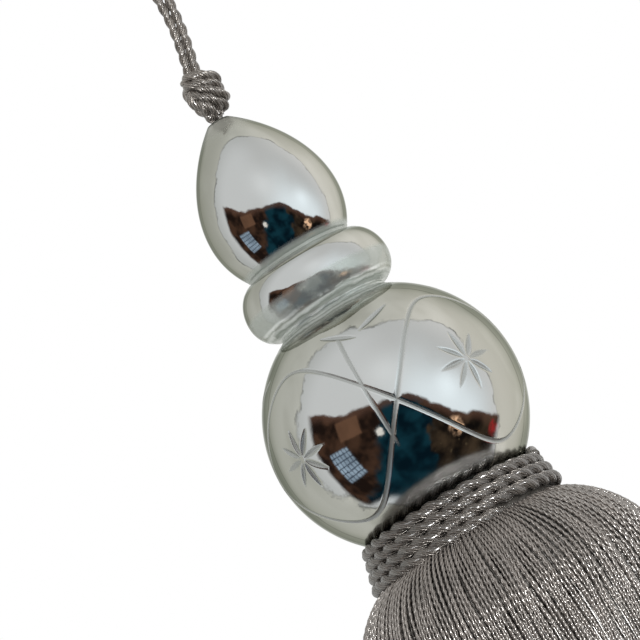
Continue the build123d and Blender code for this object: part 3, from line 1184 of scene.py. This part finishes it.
@dataclass
class RopeCollar:
    """Four turns of two-ply rope wound over the join of glass and tassel."""

    first_radius: float = 24.68
    first_level: float = -198.63
    drop: float = 3.132
    growth: float = 0.869
    diameter: float = 3.5
    fullness: float = 1.09
    clearance: float = 0.15
    lay: float = 10.6
    start: float = -0.42
    end: float = 3.42
    last_angle: float = -62.0
    start_run: float = 0.05
    start_dip: float = 1.6
    end_run: float = 0.055
    end_tuck: float = 3.4
    end_dip: float = 0.7
    spacing: float = 0.5
    ball: float = 35.0
    ball_level: float = -171.33

    def path(self) -> np.ndarray:
        """Return the rope's middle line, in metres."""
        turns = np.linspace(self.start, self.end, 2400)
        angle = math.radians(self.last_angle) + (turns - self.end) * TAU
        level = self.first_level - turns * self.drop
        radius = self.first_radius + turns * self.growth
        glass = np.sqrt(np.maximum(self.ball ** 2 - (level - self.ball_level) ** 2, 0.0))
        radius = np.maximum(radius, glass + 0.5 * self.diameter + self.clearance)
        at_end = np.clip((turns - (self.end - self.end_run)) / self.end_run, 0, 1) ** 2
        at_start = np.clip(((self.start + self.start_run) - turns) / self.start_run, 0, 1) ** 2
        level = level - self.end_dip * at_end - self.start_dip * at_start
        wobble = 0.07 * np.sin(angle * 3.0 + turns) + 0.05 * np.sin(angle * 7.3)
        radius = radius - self.end_tuck * at_end + wobble
        return evenly(polar(radius, angle, level), self.spacing) * MM

    def build(self) -> None:
        """Make the rope."""
        rope = Strands(self.path()[None], 0.5 * self.diameter * self.fullness * MM, plies(24, 2, 0.35),
                       self.lay * MM).build("rope_collar_wound")
        dress(rope, ROPE, Body.ORNAMENT, ["rope_collar"])


@dataclass
class ThreadSkirt:
    """The tassel's skirt: threads that flare from under the rope and hang to the hem."""

    top: float = -209.83
    shoulder: float = 28.6
    flare: tuple[tuple[float, float], ...] = ((0.0, 0.0), (8.83, -4.69), (16.4, -15.0), (16.4, -30.0))
    foot: float = -314.83
    hem: float = 44.3
    threads: int = 312
    pieces: int = 6
    thread: float = 0.92
    lay: float = 4.4
    spacing: float = 0.52
    tucked: float = 1.7
    head: float = 0.90
    stagger: tuple[float, float] = (0.75, 0.5)
    loose: float = 0.4
    wander: float = 0.62
    backing: int = 270
    backing_radius: float = 0.85
    backing_inset: float = 1.6
    backing_loose: float = 0.5
    backing_wander: float = 0.5
    ends: int = 19
    end_pitch: float = 2.2
    end_gap: float = 2.15
    end_radius: float = 1.18
    end_length: float = 14.0
    seed: int = 11

    def side(self) -> np.ndarray:
        """Return the skirt's side as evenly spaced (radius, height), from under the rope to the hem."""
        curve = bezier([(self.shoulder + r, self.top + z) for r, z in self.flare], 60)
        lead = [[self.shoulder - self.tucked, self.top + self.head]]
        return evenly(np.concatenate([lead, curve, [[self.hem, self.foot]]]), self.spacing)

    def _hang(self, inset: np.ndarray, wander: float, rng: np.random.Generator,
              every: int = 1) -> np.ndarray:
        """Return paths of threads round the skirt.

        Args:
            inset: How far in each thread lies at the top and at the hem, as (thread, 2).
            wander: How far threads stray sideways, in millimetres.
            rng: Where the random numbers come from.
            every: Keep one point in this many.

        Returns:
            The paths, in metres, as (thread, point, 3).
        """
        count = len(inset)
        line = self.side()
        way_in = inward(line)
        share = np.linspace(0.0, 1.0, len(line))
        start = (np.arange(count) + rng.uniform(-0.18, 0.18, count)) * TAU / count
        depth = inset[:, :1] * (1 - share) ** 1.5 + inset[:, 1:] * share
        slow = np.zeros((count, len(line)))
        for waves, size in ((1.0, 0.55), (2.3, 0.35), (5.0, 0.18), (9.0, 0.08)):
            slow += size * np.sin(share * waves * TAU + rng.uniform(0, TAU, (count, 1)))
        for waves, turns, size in ((7, 1.0, 0.6), (13, 1.7, 0.5), (29, 2.6, 0.4)):
            slow += size * np.sin(start[:, None] * waves + share * turns * TAU + waves)
        stray = wander * slow * np.sin(0.5 * math.pi * np.minimum(share * 3.0, 1.0))
        radius = line[:, 0] + depth * way_in[:, 0]
        level = line[:, 1] + depth * way_in[:, 1]
        start_level = self.top + self.head
        level = start_level + (level - start_level) * (1.0 - rng.uniform(0, 0.014, (count, 1)))
        turn = start[:, None] + stray / np.maximum(radius, 1.0)
        return polar(radius, turn, level)[:, ::every] * MM

    def build(self) -> None:
        """Make the outer threads, the threads behind them and the ends under the hem."""
        rng = np.random.default_rng(self.seed)
        half = 0.5 * self.thread
        odd = (np.arange(self.threads) % 2)[:, None]
        inset = half + odd * self.stagger + rng.uniform(0, self.loose, (self.threads, 2))
        paths = self._hang(inset, self.wander, rng)
        radius = np.full(paths.shape[:2], half * MM) * rng.uniform(0.9, 1.08, (self.threads, 1))
        phase = rng.uniform(0, TAU, self.threads)
        cuts = np.linspace(0, self.threads, self.pieces + 1).astype(int)
        for n, (first, last) in enumerate(zip(cuts[:-1], cuts[1:])):
            part = slice(first, last)
            piece = Strands(paths[part], radius[part], plies(8, 2, 0.40), self.lay * MM,
                            phase[part]).build(f"skirt_threads_{n + 1}")
            dress(piece, THREADS, Body.ORNAMENT, ["skirt_outer"])
        inset = half + self.backing_inset + rng.uniform(0, self.backing_loose, (self.backing, 2))
        behind = self._hang(inset, self.backing_wander, rng, every=6)
        back = Strands(behind, self.backing_radius * MM, np.ones(6), 4 * MM,
                       rng.uniform(0, TAU, self.backing)).build("skirt_threads_behind")
        dress(back, UNDER_THREADS, Body.ORNAMENT, ["skirt_inner"])
        self._thread_ends(rng)

    def _thread_ends(self, rng: np.random.Generator) -> None:
        """Make the ends of the threads that fill the skirt, seen from below.

        Args:
            rng: Where the random numbers come from.
        """
        places = []
        for n in range(self.ends):
            radius = (n + 0.5) * self.end_pitch
            count = max(int(TAU * radius / self.end_gap), 3)
            turn = (np.arange(count) + rng.uniform(0, 1)) * TAU / count
            places.append(polar(radius, turn, 0.0)[:, :2])
        spots = np.concatenate(places) + rng.normal(0, 0.18, (sum(map(len, places)), 2))
        foot = self.foot + 3.2 + rng.uniform(0, 2.4, len(spots))
        heights = np.linspace(0.0, 1.0, 5)
        level = foot[:, None] + heights * self.end_length
        lean = rng.normal(0, 0.5, (len(spots), 2))
        across = spots[:, None] + lean[:, None] * (1 - heights)[:, None]
        paths = np.concatenate([across, level[..., None]], axis=-1) * MM
        ends = Strands(paths, self.end_radius * MM, plies(8), 20 * MM,
                       rng.uniform(0, TAU, len(spots))).build("skirt_thread_ends")
        dress(ends, UNDER_THREADS, Body.ORNAMENT, ["skirt_inner"])


@dataclass
class InnerWorks:
    """The parts inside: silvering, core, tape, binding, washer, knot and cords."""

    finishes: Mapping[str, Finish] = field(default_factory=lambda: {
        "silver_lining": SILVER, "tassel_core": WOOD, "heading_tape": TAPE, "binding_thread": BINDING,
        "stop_washer": BRASS, "retaining_knot": HANGING_CORD, "inner_cord_left": HANGING_CORD,
        "inner_cord_right": HANGING_CORD, "cord_tail_left": HANGING_CORD, "cord_tail_right": HANGING_CORD})

    def dress(self) -> None:
        """Give each part its finish."""
        for name, finish in self.finishes.items():
            slots = frame["nodes"][name].material_slots
            if not slots:
                frame["nodes"][name].data.materials.append(finish.material())
            for slot in slots:
                slot.material = finish.material()
            log.info("%s: %s", name, finish.name)


# ---------------------------------------------------------------- studio


@dataclass(frozen=True)
class Glow:
    """A round light in the room, given by its direction along right, up and back."""

    way: Point
    tight: float
    colour: Colour


@dataclass(frozen=True)
class Patch:
    """An upright patch of the room with straight sides, given by its direction and its half sides."""

    way: Point
    half: tuple[float, float]
    lights: float = 1.0


@dataclass(frozen=True)
class Lamp:
    """A soft square lamp in front of the ornament."""

    way: Point
    size: float
    power: float
    glints_only: bool = True


@dataclass
class Room:
    """The room that the glass mirrors: pale above and at the sides, dark in front below."""

    graph: Graph
    right: Vector
    up: Vector
    back: Vector
    rims: tuple[Colour, Colour] = ((0.78, 0.80, 0.78), (1.20, 1.19, 1.17))
    silvers: tuple[Colour, Colour] = ((1.06, 1.08, 1.08), (0.93, 0.94, 0.93))
    near: Colour = (1.5, 1.64, 1.72)
    skylights: tuple[Glow, ...] = (
        Glow((0.68, 0.405, 0.61), 40.0, (1.7, 1.86, 1.95)),
        Glow((-0.16, 0.61, 0.777), 22.0, (1.30, 1.33, 1.34)))
    brown: tuple[Colour, Colour] = ((0.022, 0.013, 0.010), (0.105, 0.054, 0.033))
    teal: tuple[Colour, Colour] = ((0.003, 0.014, 0.024), (0.010, 0.058, 0.084))
    dusk: tuple[Colour, Colour] = ((0.010, 0.008, 0.007), (0.090, 0.060, 0.036))
    lip: Colour = (0.17, 0.088, 0.060)
    straw: Colour = (0.60, 0.45, 0.27)
    wall: Patch = Patch((-0.58, -0.16, 0.66), (0.20, 0.15))
    wall_colour: Colour = (0.26, 0.135, 0.080)
    window: Patch = Patch((-0.60, -0.62, 0.50), (0.19, 0.24), 3.0)
    bar_colour: Colour = (0.050, 0.070, 0.115)
    pane_colour: Colour = (0.62, 0.80, 0.98)
    glints: tuple[Glow, ...] = (
        Glow((-0.24, -0.24, 0.94), 420.0, (1.3, 1.25, 1.15)),
        Glow((0.79, -0.12, 0.60), 150.0, (1.6, 1.0, 0.62)),
        Glow((0.97, -0.12, -0.05), 260.0, (0.50, 0.04, 0.04)))
    on_cloth: Colour = (0.66, 0.66, 0.66)
    white: Colour = (1.0, 1.0, 1.0)

    def __post_init__(self) -> None:
        """Wire the direction looked in, and the wandering edge of the dark part."""
        graph = self.graph
        self.way = graph.add("ShaderNodeTexCoord", None, None, "Generated")
        self.x, self.y, self.z = (graph.dot(self.way, axis) for axis in (self.right, self.up, self.back))
        self.cloud = graph.noise(self.way, 2.2, 2.0) - 0.5
        self.fine = graph.noise(self.way, 6.0, 2.0, 0.5) - 0.5
        edge = ((self.x - 0.14) * (self.x - 0.14) * -5.0).exp() * 0.30 + 0.03
        self.over = edge - self.y - self.cloud * 0.22 - self.fine * 0.07

    def _axis(self, way: Point) -> Vector:
        """Return the direction that is so far along right, up and back."""
        return (self.right * way[0] + self.up * way[1] + self.back * way[2]).normalized()

    def _glow(self, glow: Glow) -> Wire:
        """Return how strong a round light is, from 0 to 1."""
        return self.graph.dot(self.way, self._axis(glow.way)).most(0.0) ** glow.tight

    def _patch(self, patch: Patch) -> tuple[Wire, Wire]:
        """Return a patch and the lights between its bars.

        Args:
            patch: Where it is, how large, and how many lights fit in half its width.

        Returns:
            The patch, 1 inside, and its lights, 1 inside.
        """
        graph, axis = self.graph, self._axis(patch.way)
        side = axis.cross(Vector((0.25, 0.0, 1.0))).normalized()
        rise = side.cross(axis)
        ahead = graph.dot(self.way, axis).most(0.05)
        inside, bars = 1.0, 1.0
        for direction, half in zip((side, rise), patch.half):
            across = graph.dot(self.way, direction) / ahead
            inside = across.size().step(half, half - 0.04) * inside
            bars = (across * (math.pi * patch.lights / half)).wave().size().step(0.12, 0.45) * bars
        return inside, inside * bars

    def _pale(self) -> Wire:
        """Return the pale part: the rims' and the silver's colours, a near glow and two skylights."""
        graph, x, z = self.graph, self.x, self.z
        rims = graph.blend(x.step(-0.5, 0.6), *self.rims)
        room = graph.blend(z.step(-0.3, 0.3), rims, graph.blend(x.step(-0.6, 0.0), *self.silvers))
        near = (self.over + self.cloud * 0.3).step(-0.75, -0.06)
        room = graph.blend(near * x.step(-0.50, 0.45) * z.step(-0.15, 0.45) * 0.85, room, self.near)
        for glow in self.skylights:
            room = graph.blend(self._glow(glow) * 0.8, room, glow.colour)
        return room

    def _dark(self) -> Wire:
        """Return the dark part: brown, teal and dusk in turn, a wall, a window and small glints."""
        graph, way, x, y, cloud, fine = self.graph, self.way, self.x, self.y, self.cloud, self.fine
        mottle = graph.noise(way, 4.2, 2.0, 0.5)
        flicker = graph.noise(way, 15.0, 2.0) - 0.5
        brown = graph.blend(mottle.step(0.38, 0.66), *self.brown)
        teal = graph.blend(graph.noise(way, 3.4, 2.0).step(0.35, 0.65), *self.teal)
        dusk = graph.blend(mottle.step(0.38, 0.70), *self.dusk)
        low = graph.blend((x + cloud * 0.35 + fine * 0.2).step(-0.30, -0.20), brown, teal)
        low = graph.blend((x + y * 0.25 + cloud * 0.4 + fine * 0.25).step(0.36, 0.44), low, dusk)
        low = graph.blend((1.0 - (self.over + fine * 0.1).step(0.02, 0.17)) * 0.75, low, self.lip)
        flecks = graph.noise(way, 22.0, 2.0).step(0.66, 0.80)
        low = graph.blend(flecks * x.step(0.50, 0.62) * y.step(-0.2, -0.4), low, self.straw)
        wall, _ = self._patch(self.wall)
        low = graph.blend(wall * (0.5 + mottle * 0.6), low, self.wall_colour)
        window, panes = self._patch(self.window)
        low = graph.blend(window * 0.9, low, self.bar_colour)
        low = graph.blend(panes * (0.30 + mottle * 1.0), low, self.pane_colour)
        for glow in self.glints:
            uneven = self._glow(glow) * (flicker * 4.0 + 1.0)
            low = graph.blend(uneven.step(0.15, 0.85), low, glow.colour)
        return low

    def build(self) -> None:
        """Wire the room; it is plain white where it is seen, and evenly grey where it lights cloth."""
        graph, cloud = self.graph, self.cloud
        dark = (self.over.step(-0.02, 0.03) * (self.y + cloud * 0.05).step(-0.975, -0.945)
                * (self.z - 0.03 + self.x * 0.17 + cloud * 0.2).step(-0.05, 0.05))
        colour = graph.blend(dark, self._pale(), self._dark())
        for rays, plain in (("Is Diffuse Ray", self.on_cloth), ("Is Camera Ray", self.white)):
            colour = graph.blend(graph.add("ShaderNodeLightPath", None, None, rays), colour, plain)
        background = graph.add("ShaderNodeBackground", None, {"Color": colour, "Strength": 1.0})
        graph.add("ShaderNodeOutputWorld", None, {"Surface": background})


@dataclass
class Studio:
    """Camera, floor, room and lamps."""

    target: Point = (0.0, 0.0, -0.17133)
    distance: float = 1.3915
    elevation: float = -7.5
    lean: float = 31.2
    lens: float = 300.0
    frame_size: float = 640.0
    sensor: float = 36.0
    aside: float = 75.9
    below: float = 96.1
    floor_level: float = -0.400
    floor_size: float = 12.0
    lamps: tuple[Lamp, ...] = (
        Lamp((-0.85, 0.75, 1.10), 0.30, 5.0, False), Lamp((0.90, 0.60, 1.00), 0.12, 10.0),
        Lamp((0.12, 0.25, 1.55), 0.08, 40.0))
    unlit: tuple[str, ...] = ("glass_finial_cut", "floor")

    def axes(self) -> tuple[Vector, Vector, Vector]:
        """Return the picture's right, its up, and the way back to the camera."""
        tilt, roll = math.radians(self.elevation), math.radians(self.lean)
        back = Vector((0.0, -math.cos(tilt), math.sin(tilt)))
        level_up = Vector((0.0, math.sin(tilt), math.cos(tilt)))
        level_right = Vector((1.0, 0.0, 0.0))
        right = level_right * math.cos(roll) - level_up * math.sin(roll)
        up = level_right * math.sin(roll) + level_up * math.cos(roll)
        return right, up, back

    def set_camera(self) -> None:
        """Place the camera, with the ball to the right of the middle and below it."""
        right, up, back = self.axes()
        focal = self.lens / self.sensor * self.frame_size
        off = Vector((self.aside / focal, -self.below / focal, -1.0)).normalized()
        turn = off.rotation_difference(Vector((0.0, 0.0, -1.0))).to_matrix()
        facing = Matrix((right, up, back)).transposed() @ turn
        data = bpy.data.cameras.new("camera")
        data.lens = self.lens
        data.sensor_width = self.sensor
        data.clip_start = 0.01
        camera = bpy.data.objects.new("camera", data)
        camera.matrix_world = Matrix.Translation(Vector(self.target) + back * self.distance) @ facing.to_4x4()
        bpy.context.scene.collection.objects.link(camera)
        bpy.context.scene.camera = camera

    def lay_floor(self) -> None:
        """Lay the pale paper below the ornament."""
        half = 0.5 * self.floor_size
        corners = np.array([(x, y, self.floor_level) for x, y in (
            (-half, -half), (half, -half), (half, half), (-half, half))])
        floor = piece_from("floor", corners, [[0, 1, 2, 3]])
        floor.data.materials.append(FLOOR.material())
        floor.visible_glossy = False

    def hang_lamps(self) -> None:
        """Hang soft lamps in front; they light the cords and threads, and not the glass."""
        right, up, back = self.axes()
        lit = bpy.data.collections.new("lit_by_lamps")
        for piece in bpy.context.scene.objects:
            if piece.type == "MESH" and piece.name not in self.unlit:
                lit.objects.link(piece)
        for n, spec in enumerate(self.lamps, 1):
            data = bpy.data.lights.new(f"lamp_{n}", "AREA")
            data.size = spec.size
            data.energy = spec.power
            lamp = bpy.data.objects.new(f"lamp_{n}", data)
            way = right * spec.way[0] + up * spec.way[1] + back * spec.way[2]
            facing = way.to_track_quat("Z", "Y").to_matrix().to_4x4()
            lamp.matrix_world = Matrix.Translation(Vector(self.target) + way) @ facing
            lamp.visible_camera = False
            lamp.visible_diffuse = not spec.glints_only
            lamp.light_linking.receiver_collection = lit
            bpy.context.scene.collection.objects.link(lamp)

    def build(self) -> None:
        """Set up everything round the ornament but the lamps."""
        self.set_camera()
        self.lay_floor()
        world = bpy.data.worlds.new("room")
        world.use_nodes = True
        bpy.context.scene.world = world
        Room(Graph(world.node_tree), *self.axes()).build()
        bpy.context.scene.view_settings.view_transform = "Standard"


def main() -> None:
    """Build and dress the ornament."""
    logging.basicConfig(level=logging.INFO, format="%(name)s: %(message)s")
    studio = Studio()
    studio.build()
    HangingLoop().build()
    HangingKnot().build()
    TwistingNeck().build()
    GlassFinial().build()
    RopeCollar().build()
    ThreadSkirt().build()
    InnerWorks().dress()
    studio.hang_lamps()


if __name__ == "__main__":
    main()
